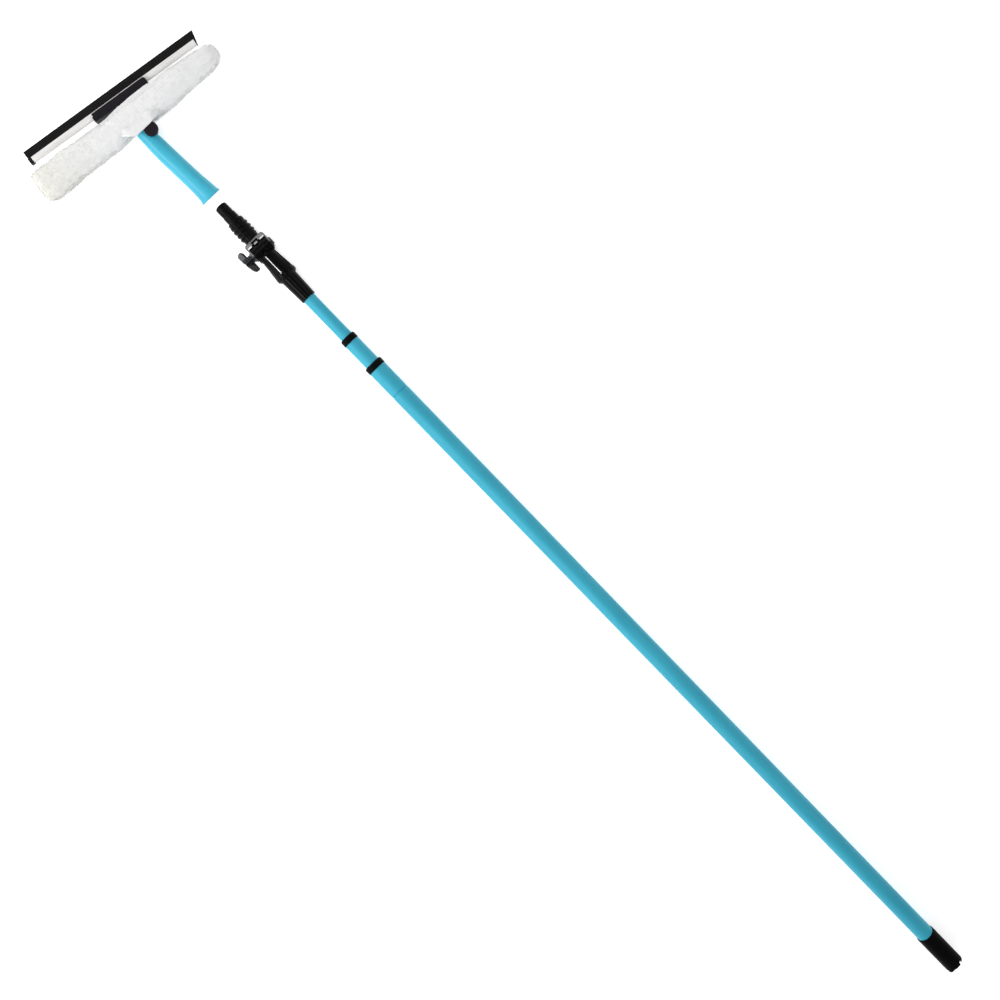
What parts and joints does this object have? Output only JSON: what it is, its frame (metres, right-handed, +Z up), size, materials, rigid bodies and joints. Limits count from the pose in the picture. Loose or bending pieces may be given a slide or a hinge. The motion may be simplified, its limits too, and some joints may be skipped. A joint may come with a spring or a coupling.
{
  "type": "telescopic window cleaning pole",
  "caption": "Telescopic twist-lock pole with an angle adapter, lying flat beside its pulled-off swivelling head with a pile washer sleeve and a squeegee.",
  "frame": {"origin": "on the floor under the middle of the whole object as it lies", "axes": "+X along the pole from butt to head, +Z up, +Y to the wing nut's side"},
  "size_m": [2.2416, 0.371, 0.0404],
  "materials": {
    "tube_teal": "satin anodised",
    "collar_black": "moulded satin",
    "cap_black": "moulded satin",
    "adapter_black": "moulded, slightly glossy",
    "zinc_steel": "zinc plated",
    "wing_metal": "dark polished",
    "handle_teal": "moulded gloss",
    "button_black": "moulded satin",
    "spring_steel": "bright wire",
    "head_black": "moulded satin",
    "white_pile": "woven pile",
    "clip_black": "moulded satin",
    "stainless": "fine brushed",
    "rubber_black": "matt",
    "lock_plastic": "natural nylon"
  },
  "bodies": {
    "main_pole": {"main_tube": "tube_teal", "main_collar": "collar_black", "butt_cap": "cap_black", "butt_plug": "cap_black"},
    "lower_lock": {"lower_lock_sleeve": "lock_plastic", "lower_lock_ring": "rubber_black"},
    "lower_cone": {"lower_lock_cone": "lock_plastic"},
    "middle_pole": {"middle_tube": "tube_teal", "middle_collar": "collar_black", "lower_lock_plug": "lock_plastic", "lower_lock_screw": "zinc_steel"},
    "upper_lock": {"upper_lock_sleeve": "lock_plastic", "upper_lock_ring": "rubber_black"},
    "upper_cone": {"upper_lock_cone": "lock_plastic"},
    "inner_pole": {"inner_tube": "tube_teal", "upper_lock_plug": "lock_plastic", "upper_lock_screw": "zinc_steel", "adapter_body": "adapter_black", "ferrule_screw": "zinc_steel"},
    "tip": {"yoke": "zinc_steel", "yoke_rivet": "zinc_steel", "screw_tip": "adapter_black", "hinge_bolt": "zinc_steel"},
    "washer": {"clamp_washer": "zinc_steel"},
    "wing": {"wing_nut": "wing_metal"},
    "grip": {"handle": "handle_teal", "pivot_pin": "zinc_steel", "fork_washers": "collar_black", "button_spring": "spring_steel"},
    "button": {"swivel_button": "button_black"},
    "head": {"swivel_hub": "head_black", "t_bar": "head_black", "t_bar_caps": "head_black", "head_screws": "zinc_steel", "washer_sleeve": "white_pile", "squeegee_clip": "clip_black"},
    "squeegee": {"squeegee_channel": "stainless", "squeegee_rubber": "rubber_black", "channel_ends": "clip_black"}
  },
  "joints": [
    {"name": "lower_extend", "type": "slide", "parent": "main_pole", "child": "lower_lock", "axis": [1, 0, 0], "range_m": [0, 1.25]},
    {"name": "lower_twist", "type": "hinge", "parent": "lower_lock", "child": "middle_pole", "pos_m": [-0.98136, -0.00857, 0.0202], "axis": [1, 0, 0], "range_deg": [0, 150]},
    {"name": "lower_cone_draw", "type": "slide", "parent": "lower_lock", "child": "lower_cone", "axis": [-1, 0, 0], "range_m": [0, 0.000834]},
    {"name": "upper_extend", "type": "slide", "parent": "middle_pole", "child": "upper_lock", "axis": [1, 0, 0], "range_m": [0, 1.2]},
    {"name": "upper_twist", "type": "hinge", "parent": "upper_lock", "child": "inner_pole", "pos_m": [-0.86136, -0.00857, 0.0202], "axis": [1, 0, 0], "range_deg": [0, 150]},
    {"name": "upper_cone_draw", "type": "slide", "parent": "upper_lock", "child": "upper_cone", "axis": [-1, 0, 0], "range_m": [0, 0.000834]},
    {"name": "tip_angle", "type": "hinge", "parent": "inner_pole", "child": "tip", "pos_m": [0.73864, -0.00857, 0.0202], "axis": [0, 1, 0], "range_deg": [-90, 90]},
    {"name": "washer_draw", "type": "slide", "parent": "tip", "child": "washer", "axis": [0, 1, 0], "range_m": [0, 0.0025]},
    {"name": "wing_turn", "type": "hinge", "parent": "washer", "child": "wing", "pos_m": [0.73864, -0.00857, 0.0202], "axis": [0, 1, 0], "range_deg": [0, 720]},
    {"name": "head_pull_off", "type": "slide", "parent": "tip", "child": "grip", "axis": [1, 0, 0], "range_m": [-0.061, 0.15]},
    {"name": "head_swivel", "type": "hinge", "parent": "grip", "child": "head", "pos_m": [1.00084, -0.01557, 0.0202], "axis": [0, 0, 1], "range_deg": [-72, 7.7]},
    {"name": "button_press", "type": "slide", "parent": "grip", "child": "button", "axis": [0, 0, -1], "range_m": [0, 0.002], "stiffness_N_per_m": 1200, "springref_m": -0.001, "deforming": ["button_spring"]},
    {"name": "channel_slide", "type": "slide", "parent": "head", "child": "squeegee", "axis": [0.134, 0.991, 0], "range_m": [-0.045, 0.03]}
  ],
  "couplings": [
    {"joint": "lower_cone_draw", "follows": "lower_twist", "m_per_rad": 0.00031831},
    {"joint": "upper_cone_draw", "follows": "upper_twist", "m_per_rad": 0.00031831},
    {"joint": "washer_draw", "follows": "wing_turn", "m_per_rad": 0.00019894}
  ]
}
